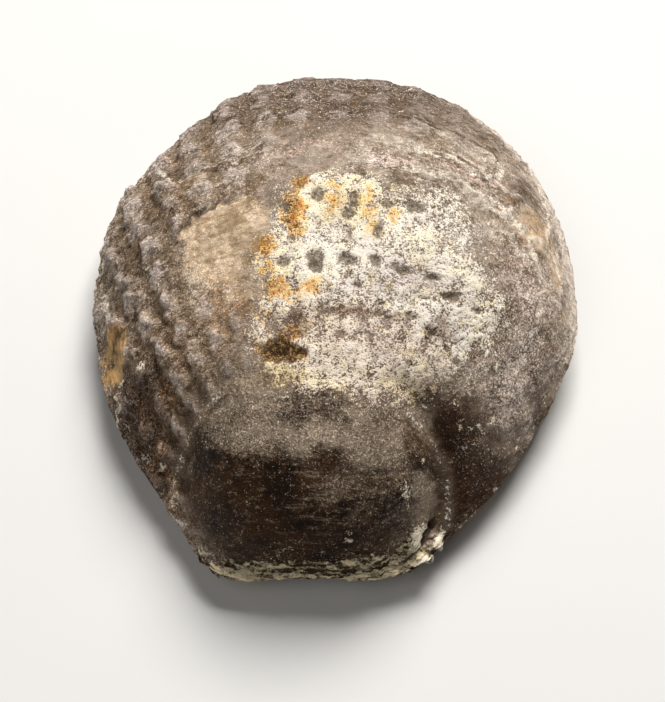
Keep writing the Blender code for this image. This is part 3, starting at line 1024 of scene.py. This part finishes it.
# Clouds in the stone: size, detail, roughness, and for drawn-out ones the stretch and turn
CLOUDS = {
    "broad": (10, 3, 0.6),
    "patchy": (2.8, 4, 0.62),
    "mottle": (1.15, 4, 0.65),
    "speckle": (0.5, 3, 0.7),
    "grain": (0.25, 2, 0.7),
    "satin": (0.7, 4, 0.65, (0.2, 1, 1), -0.85),
    "stripes": (0.6, 4, 0.6, (1, 0.14, 0.3)),
    "scratches": (0.8, 5, 0.7, (0.16, 1, 1)),
    "layers": (1.2, 5, 0.7, (0.2, 0.3, 1.4)),
    "clumps": (2.0, 3, 0.6, (1, 1, 1.3)),
}

# Parts whose own texture stays quiet, and how quiet, from 0 to 1
CALM_PARTS = {
    "umbo": 0.2, "tan": 0.6, "smoke": 0.4, "amber": 0.5, "window": 0.9, "honey": 0.85,
    "flange": 0.7,
}

# Painted glints, bright dots that partly stand for single crystals: size of their cells, radius as
# a share of it, and the share left out
GLINTS = [(0.5, 0.24, 0.93), (1.2, 0.16, 0.86), (0.33, 0.26, 0.9)]

# Where the crust turns pink, as a distance from the beak
PINK_START = 35.5
PINK_FULL = 32.5


class Agate(Finish):
    """Smoky agate and its drusy crust. Each step lays its colour over the one it is given."""

    def __init__(self):
        super().__init__("smoky_agate_and_druse")
        for name, facts in CLOUDS.items():
            setattr(self, name, self.cloud(*facts))
        self.fine = self.blend(speckle=2.2, grain=1.8)
        self.rag = self.blend(patchy=0.9, mottle=1.3, speckle=1.4, grain=1.1)
        for name in ("crust", "umbo", "smoke", "frost", "lined", "ribbed"):
            setattr(self, name, self.mask(name))
        self.follow_growth()
        self.follow_ribs()
        druse = self.blend(patchy=1.0, mottle=1.6, speckle=2.5, grain=1.8)
        self.druse = self.ragged("crust", rag=druse)
        calm = 0.0
        for name, share in CALM_PARTS.items():
            calm = self.larger(calm, self.times(self.mask(name), share))
        self.busy = self.minus(1.0, calm)

    def blend(self, **shares):
        """Sum of clouds about their middle values, each times its share."""
        total = None
        for name, share in shares.items():
            term = self.times(self.minus(getattr(self, name), 0.5), share)
            total = term if total is None else self.plus(total, term)
        return total

    def ragged(self, name, amount=1.0, rag=None):
        """A mask with a rag of clouds on it, which stays 0 well away from the mask."""
        mask = self.mask(name)
        rag = self.times(self.rag if rag is None else rag, amount)
        return self.plus(mask, self.times(rag, self.fade(mask, 0.0, 0.15)))

    def streaks(self, across, width, spokes, height):
        """Fine clouds drawn out along the growth or along the ribs."""
        across = self.math("DIVIDE", across, width)
        values = {0: across, 1: self.times(self.side, spokes), 2: height}
        where = self.put("ShaderNodeCombineXYZ", values).outputs[0]
        values = {"Vector": where, "Scale": 1.0, "Detail": 4.0, "Roughness": 0.6}
        return self.put("ShaderNodeTexNoise", values).outputs[0]

    def follow_growth(self):
        """Growth lines are arcs round the beak, and rib lines run out from it."""
        beak = (BEAK[0] * MM, BEAK[1] * MM, 0)
        values = {0: self.place, 1: beak}
        from_beak = self.put("ShaderNodeVectorMath", values, operation="SUBTRACT").outputs[0]
        axis = self.put("ShaderNodeSeparateXYZ", {0: from_beak}).outputs
        flat = self.put("ShaderNodeCombineXYZ", {0: axis[0], 1: axis[1]}).outputs[0]
        length = self.put("ShaderNodeVectorMath", {0: flat}, operation="LENGTH")
        self.side = self.math("ARCTAN2", axis[0], axis[1])
        self.reach = self.math("DIVIDE", length.outputs["Value"], MM)
        height = self.math("DIVIDE", axis[2], 1.5 * MM)
        arc = self.plus(self.reach, self.blend(broad=6.0, patchy=4.0, mottle=1.2))
        self.bent = self.plus(self.reach, self.blend(broad=6.0, patchy=2.5))
        self.round_arcs = self.streaks(arc, 0.8, 16, height)
        self.down_ribs = self.streaks(self.reach, 3.0, 50, height)
        self.fibres = self.streaks(self.bent, 0.36, 24, height)

    def follow_ribs(self):
        """Crests of the ribs, how much they stand out, and the fibres that cross them."""
        crest = self.plus(self.mask("crest"), self.times(self.rag, 0.2))
        self.crest = self.plus(crest, self.blend(fibres=0.8))
        self.raised = self.times(self.ribbed, self.fade(self.smoke, 0.5, 1.0, 1.0, 0.45))
        hairy = self.times(self.larger(self.ribbed, self.lined), self.fade(self.umbo, 0.6, 0.2))
        self.hairy = self.times(hairy, self.fade(self.patchy, 0.3, 0.5))

    def bare_stone(self):
        """Cloudy stone, streaked along its growth, with pink and smoky parts; the smoky parts are
        partly painted shade.
        """
        tone = self.blend(broad=1.4, patchy=1.2, mottle=1.0, round_arcs=0.6)
        stone = self.coat(STONE_DARK, STONE, tone, -0.35, 0.1)
        stone = self.coat(stone, STONE_PALE, tone, 0.05, 0.5)
        rings = self.times(self.lined, self.fade(self.round_arcs, 0.53, 0.66))
        stone = self.mix(self.times(rings, 0.4), stone, STONE_PALE)
        stone = self.coat(stone, PINK, self.ragged("pink"), 0.2, 1.2, 0.8)
        smoke_and_shade_amount = self.plus(self.smoke, self.times(self.rag, 0.8))
        return self.coat(stone, SMOKE_AND_SHADE, smoke_and_shade_amount, 0.1, 1.0)

    def lay_ribs(self, stone):
        """Lavender-grey lumps on warm translucent furrows."""
        furrow = self.times(self.ribbed, self.fade(self.crest, 0.62, 0.2, 0.0, 0.7))
        stone = self.mix(furrow, stone, FURROW)
        lump = self.times(self.raised, self.fade(self.crest, 0.5, 0.95, 0.0, 0.66))
        return self.mix(lump, stone, LAVENDER)

    def lay_tan_window(self, stone):
        bands = self.blend(broad=1.8, satin=1.1, patchy=0.6, mottle=0.6)
        tan = self.coat(TAN, TAN_PALE, bands, -0.3, 0.25)
        return self.coat(stone, tan, self.ragged("tan", 0.4), 0.15, 0.85)

    def lay_amber(self, stone):
        """Amber stains, weaker on the crests, honey ones, and the clear striped window, lit up as
        painted glow of light through the amber.
        """
        stained = self.ragged("amber", 0.22)
        weaker = self.fade(self.crest, 0.9, 0.45, 0.4, 1.0)
        warm = self.times(self.fade(stained, 0.05, 0.9, 0.0, 0.95), weaker)
        stone = self.tint(stone, warm, AMBER_TINT)
        amber = self.coat(AMBER_DARK, AMBER, self.plus(self.patchy, self.rag), 0.3, 0.75)
        stone = self.coat(stone, amber, stained, 0.5, 1.0, 0.75)
        stone = self.coat(stone, HONEY, self.ragged("honey", 0.2), 0.1, 0.9, 0.9)
        glow = self.coat(WINDOW_DARK, WINDOW, self.stripes, 0.3, 0.7)
        glow = self.shade(glow, self.fade(self.crest, 0.25, 0.75, 0.72, 1.06))
        return self.coat(stone, glow, self.ragged("window", 0.15), 0.2, 0.75, 0.95)

    def lay_margin(self, stone):
        """Pale flange at the right margin, and pale ledges of growth."""
        stone = self.coat(stone, STONE_PALE, self.ragged("flange", 0.5), 0.4, 0.8, 0.85)
        return self.mix(self.times(self.mask("ridge"), 0.8), stone, STONE_PALE)

    def lay_umbo(self, stone):
        """Dark glassy umbo with pale scratches, and a grey bloom on its top that is partly painted
        highlight of the lit top, so the dark below partly stands for shade.
        """
        depth = self.blend(broad=2.0, patchy=1.0, mottle=0.4, scratches=0.5)
        glass = self.coat(UMBO_DARK, UMBO_WARM, depth, -0.4, 0.2)
        smudge = self.blend(
            broad=1.6, patchy=0.9, mottle=0.7, scratches=0.6, speckle=0.5, grain=0.9
        )
        # Painted highlight: the grey bloom over the umbo's lit top.
        bloom_and_highlight = self.plus(self.times(self.mask("bloom_and_highlight"), 0.95), smudge)
        glass = self.coat(glass, UMBO_GREY_AND_HIGHLIGHT, bloom_and_highlight, 0.05, 1.25, 0.85)
        glass = self.coat(glass, UMBO_GREY_AND_HIGHLIGHT, self.scratches, 0.54, 0.66, 0.4)
        glass = self.coat(glass, UMBO_DARK, self.scratches, 0.44, 0.3, 0.35)
        # Painted shade: the smoky parts round the umbo are darkened further.
        stone = self.tint(stone, self.fade(self.smoke, 0.3, 1.0, 0.0, 0.6), SMOKE_AND_SHADE_TINT)
        return self.mix(self.umbo, stone, glass)

    def lay_streaks(self, stone):
        """Streaks down the ribs and along the growth, and hair-fine fibres."""
        stone = self.shade(stone, self.fade(self.down_ribs, 0.3, 0.7, 0.88, 1.12))
        stone = self.shade(stone, self.fade(self.round_arcs, 0.3, 0.7, 0.86, 1.14))
        stone = self.vary(stone, self.times(self.hairy, self.blend(fibres=2.4)))
        threads = self.times(self.hairy, self.thin_line(self.fibres, 0.5, 0.03))
        return self.mix(self.times(threads, 0.35), stone, FROST)

    def lay_lines(self, stone):
        """Pale edges of thin layers, dark lines, and crystals along the umbo's ridges."""
        thick = self.blend(patchy=1.2, mottle=1.2, speckle=0.4)
        away = self.minus(self.mask("pale_line"), thick)
        stone = self.coat(stone, FROST, away, 0.45, 0.05, 0.75)
        away = self.minus(self.mask("dark_line"), thick)
        stone = self.coat(stone, CRACK_AND_SHADOW, away, 0.4, 0.08, 0.8)
        away = self.minus(self.mask("umbo_edge"), thick)
        stone = self.coat(stone, UMBO_GREY_AND_HIGHLIGHT, away, 1.6, 0.3, 0.22)
        dots = self.times(self.fade(away, 0.45, 0.0), self.fade(self.speckle, 0.5, 0.62))
        return self.mix(self.times(dots, 0.55), stone, SPECK)

    def lay_growth_lines(self, stone):
        """Fine pale and dark lines along the growth, broken here and there."""
        for arcs, colour, gap in ((PALE_ARCS, FROST, 0.36), (DARK_ARCS, CRACK_AND_SHADOW, 0.4)):
            broken = self.fade(self.mottle, gap, gap + 0.2)
            for at, start, end, width, share in arcs:
                line = self.thin_line(self.bent, at, width)
                sector = self.between(self.side, math.radians(start), math.radians(end), 0.05)
                line = self.times(self.times(line, sector), broken)
                stone = self.mix(self.times(line, share), stone, colour)
        return stone

    def lay_creases(self, stone):
        """Dark hair cracks in the busy parts, dark lines at the steps, and painted shadow along the
        tan window's lip.
        """
        crease = self.thin_line(self.mottle, 0.5, 0.025)
        crease = self.times(crease, self.fade(self.patchy, 0.48, 0.58))
        crease = self.times(self.times(crease, self.busy), 0.55)
        crease = self.larger(crease, self.mask("step_line_and_lip_shadow"))
        return self.mix(self.times(crease, 0.7), stone, CRACK_AND_SHADOW)

    def lay_sparkle(self, stone):
        """Light and dark grains all over; the light ones are fewer and stronger."""
        bright = self.times(self.larger(self.minus(self.fine, 0.16), 0.0), 2.2)
        sparkle = self.plus(self.times(self.fine, 0.7), bright)
        return self.vary(stone, self.times(sparkle, self.busy))

    def lay_frost(self, stone):
        """White frost on crests and ledges, and sugary quartz in the frosted parts."""
        frosty = self.times(self.raised, self.fade(self.crest, 0.5, 1.0, 0.0, 0.24))
        frosty = self.larger(frosty, self.times(self.frost, 0.4))
        frosty = self.larger(frosty, self.times(self.mask("ridge"), 0.5))
        frosty = self.plus(frosty, self.blend(speckle=2.0, grain=2.0, mottle=0.6))
        frosty = self.fade(frosty, 0.45, 0.75, 0.0, 0.75)
        frosty = self.times(frosty, self.fade(self.smoke, 0.3, 1.0, 1.0, 0.55))
        white = self.mix(self.umbo, FROST, SPECK)
        stone = self.mix(self.times(frosty, self.busy), stone, white)
        sugary = self.fade(self.minus(self.frost, self.crust), 0.15, 0.9)
        stone = self.tint(stone, self.times(sugary, 0.6), FROST_TINT)
        light = self.fade(self.fine, 0.0, -0.4, 0.38, -0.18)
        light = self.plus(light, self.blend(mottle=0.9, patchy=1.0))
        stone = self.vary(stone, self.times(sugary, light))
        sugar = self.plus(self.fine, self.blend(mottle=0.9, patchy=0.6))
        sugar = self.times(sugary, self.fade(sugar, 0.14, 0.6, 0.0, 0.85))
        return self.mix(sugar, stone, SPECK)

    def lay_rind(self, stone):
        """Chalky layers on the broken hinge, and the knob's white folds."""
        chalk = self.blend(layers=2.6, patchy=1.2, speckle=0.8)
        rind = self.coat(RIND_DARK, RIND, chalk, -0.18, 0.26)
        stone = self.coat(stone, rind, self.ragged("rind", 0.6), 0.35, 0.6)
        folds = self.mix(self.patchy, RIND, WHITE)
        stone = self.coat(stone, folds, self.ragged("fold", 0.8), 0.35, 0.75)
        return self.coat(stone, RIND_DARK, self.mask("hollow"), 0.2, 0.9, 0.8)

    def lay_crust(self, stone):
        """Cream grains with grey gaps between them, thinning out at the crust's edge."""
        white = self.coat(CRUST_GAP, CRUST_LILAC, self.druse, 0.34, 0.5)
        white = self.coat(white, CRUST_PALE, self.druse, 0.46, 0.68)
        white = self.coat(white, CREAM, self.druse, 0.68, 0.98)
        lilac = self.larger(
            self.fade(self.clumps, 0.5, 0.36, 0.0, 0.6), self.ragged("lilac", 0.8)
        )
        white = self.tint(white, lilac, LAVENDER_TINT)
        white = self.tint(white, self.fade(self.clumps, 0.54, 0.68, 0.0, 0.6), YELLOW_TINT)
        white = self.tint(white, self.fade(self.reach, PINK_START, PINK_FULL, 0.0, 0.9), PINK_TINT)
        return self.coat(stone, white, self.druse, 0.24, 0.42)

    def lay_crust_stains(self, stone):
        """Brown, sulphur and ochre stains, strongest in the gaps between the grains."""
        browned = self.minus(self.ragged("brown", 1.2), self.times(self.fine, 0.6))
        stone = self.tint(stone, self.fade(browned, 0.2, 1.0), BROWN_TINT)
        sulphur = self.ragged("yellow", 1.2)
        stone = self.tint(stone, self.fade(sulphur, 0.3, 1.1), YELLOW_TINT)
        olive = self.times(self.fade(sulphur, 0.4, 0.9), self.fade(self.speckle, 0.46, 0.36))
        stone = self.tint(stone, self.times(olive, 0.8), OLIVE_TINT)
        rusty = self.blend(patchy=1.4, mottle=2.2, speckle=1.6, grain=0.8)
        rusted = self.ragged("ochre", rag=rusty)
        keeps_pale = self.fade(self.plus(self.druse, self.fine), 0.9, 1.5, 1.0, 0.35)
        ochre = self.times(self.fade(rusted, 0.3, 0.95), keeps_pale)
        stone = self.tint(stone, ochre, OCHRE_TINT)
        gaps = self.times(self.fade(rusted, 0.35, 0.8), self.fade(self.fine, 0.0, -0.35))
        stone = self.tint(stone, self.times(gaps, 0.7), RUST_TINT)
        stone = self.tint(stone, self.fade(rusted, 0.95, 1.5, 0.0, 0.8), RUST_TINT)
        # Darker along the steps' lines and the tan window's lip; along the lip this is painted
        # shadow.
        return self.tint(stone, self.times(self.mask("step_line_and_lip_shadow"), 0.45), CRACK_AND_SHADOW)

    def lay_pits(self, stone):
        """Grey pits in the crust, and the brown and gold hole through it, whose dark parts are
        partly painted shade of the hole.
        """
        grey = self.coat(PIT_DARK, PIT, self.speckle, 0.4, 0.6)
        stone = self.coat(stone, grey, self.ragged("pit", 0.4), 0.3, 0.62, 0.85)
        tone = self.blend(patchy=1.0, mottle=1.6, speckle=2.4, grain=1.0)
        deep = self.coat(HOLE_DARK, HOLE_BROWN, tone, -0.3, 0.15)
        deep = self.coat(deep, HOLE_GOLD, tone, 0.1, 0.6)
        return self.coat(stone, deep, self.ragged("hole", 1.1), 0.04, 0.3)

    def lay_glints_and_chips(self, stone):
        """Painted glints, bright dots that partly stand for single crystals, and chips of bare
        white quartz.
        """
        glint = 0.0
        for size, radius, sparse in GLINTS:
            glint = self.larger(glint, self.glint_dots(size, radius, sparse))
        glint = self.times(glint, self.fade(self.patchy, 0.46, 0.62, 0.08, 0.85))
        glint = self.times(glint, self.fade(self.smoke, 0.3, 1.0, 1.0, 0.4))
        stone = self.mix(glint, stone, QUARTZ_AND_GLINT_WHITE)
        return self.coat(stone, QUARTZ_AND_GLINT_WHITE, self.ragged("chip", 0.9), 0.45, 0.8, 0.9)

    def set_gloss(self):
        """Dully glossy stone, with a duller crust and rind."""
        rough = self.fade(self.speckle, 0.3, 0.7, 0.5, 0.7)
        rough = self.plus(rough, self.times(self.crust, 0.25))
        rough = self.plus(rough, self.times(self.mask("rind"), 0.2), clamp=True)
        self.drive("Roughness", rough)
        self.shader.inputs["IOR"].default_value = 1.2

    def set_bump(self):
        """Grains, sugar, fine growth lines and fibres, too small for the mesh."""
        height = self.blend(grain=0.8, speckle=1.3, mottle=0.9, round_arcs=0.3)
        height = self.plus(height, self.times(self.hairy, self.blend(fibres=1.6)))
        height = self.times(height, self.fade(self.busy, 0.0, 1.0, 0.3, 1.0))
        values = {"Strength": 0.8, "Distance": 0.2 * MM, "Height": height}
        self.drive("Normal", self.put("ShaderNodeBump", values).outputs[0])


def agate_finish():
    agate = Agate()
    colour = agate.bare_stone()
    for lay in (
        agate.lay_ribs, agate.lay_tan_window, agate.lay_amber, agate.lay_margin,
        agate.lay_umbo, agate.lay_streaks, agate.lay_lines, agate.lay_growth_lines,
        agate.lay_creases, agate.lay_sparkle, agate.lay_frost, agate.lay_rind,
        agate.lay_crust, agate.lay_crust_stains, agate.lay_pits, agate.lay_glints_and_chips,
    ):
        colour = lay(colour)
    agate.drive("Base Color", colour)
    agate.set_gloss()
    agate.set_bump()
    return agate.material


# ---------------------------------------------------------------- stage

FLOOR_DARK = (0.74, 0.735, 0.72, 1)
FLOOR_PALE = (0.78, 0.775, 0.76, 1)
CAMERA_ELEVATION = math.radians(65)
CAMERA_TARGET = Vector((-0.4545, -7.798, 12.0))
CAMERA_DISTANCE = 389.08


def floor_finish():
    floor = Finish("pale_floor")
    floor.drive("Base Color", floor.mix(floor.cloud(60, 3, 0.5), FLOOR_DARK, FLOOR_PALE))
    floor.shader.inputs["Roughness"].default_value = 0.8
    return floor.material


def make_floor():
    mesh_edit = bmesh.new()
    bmesh.ops.create_grid(mesh_edit, x_segments=1, y_segments=1, size=1.5)
    mesh = bpy.data.meshes.new("floor")
    mesh_edit.to_mesh(mesh)
    mesh_edit.free()
    mesh.materials.append(floor_finish())
    floor = bpy.data.objects.new("floor", mesh)
    bpy.context.scene.collection.objects.link(floor)


def aim(thing, place, target):
    thing.location = place
    thing.rotation_euler = (Vector(target) - Vector(place)).to_track_quat("-Z", "Y").to_euler()
    bpy.context.scene.collection.objects.link(thing)


def add_lamp(name, place, size, power, colour):
    lamp = bpy.data.lights.new(name, "AREA")
    lamp.size = size
    lamp.energy = power
    lamp.color = colour
    aim(bpy.data.objects.new(name, lamp), place, (0, 0, 0.01))


def light_scene():
    add_lamp("window", (0.15, 0.55, 0.75), 0.5, 13, (1, 0.98, 0.95))
    add_lamp("fill", (-0.35, -0.3, 0.8), 0.6, 1.2, (1, 1, 1))
    world = bpy.data.worlds.new("room")
    world.use_nodes = True
    background = world.node_tree.nodes["Background"]
    background.inputs[0].default_value = (0.5, 0.5, 0.5, 1)
    background.inputs[1].default_value = 0.12
    bpy.context.scene.world = world
    bpy.context.scene.view_settings.view_transform = "Standard"


def add_camera():
    lens = bpy.data.cameras.new("camera")
    lens.lens = 130
    lens.sensor_width = 36
    lens.clip_start = 0.01
    lens.clip_end = 10
    look = Vector((0, math.cos(CAMERA_ELEVATION), -math.sin(CAMERA_ELEVATION)))
    camera = bpy.data.objects.new("camera", lens)
    aim(camera, (CAMERA_TARGET - CAMERA_DISTANCE * look) * MM, CAMERA_TARGET * MM)
    bpy.context.scene.camera = camera


stone = make_stone()
stone.data.materials.append(agate_finish())
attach(stone, "root")
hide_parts(NODE)
make_floor()
light_scene()
add_camera()
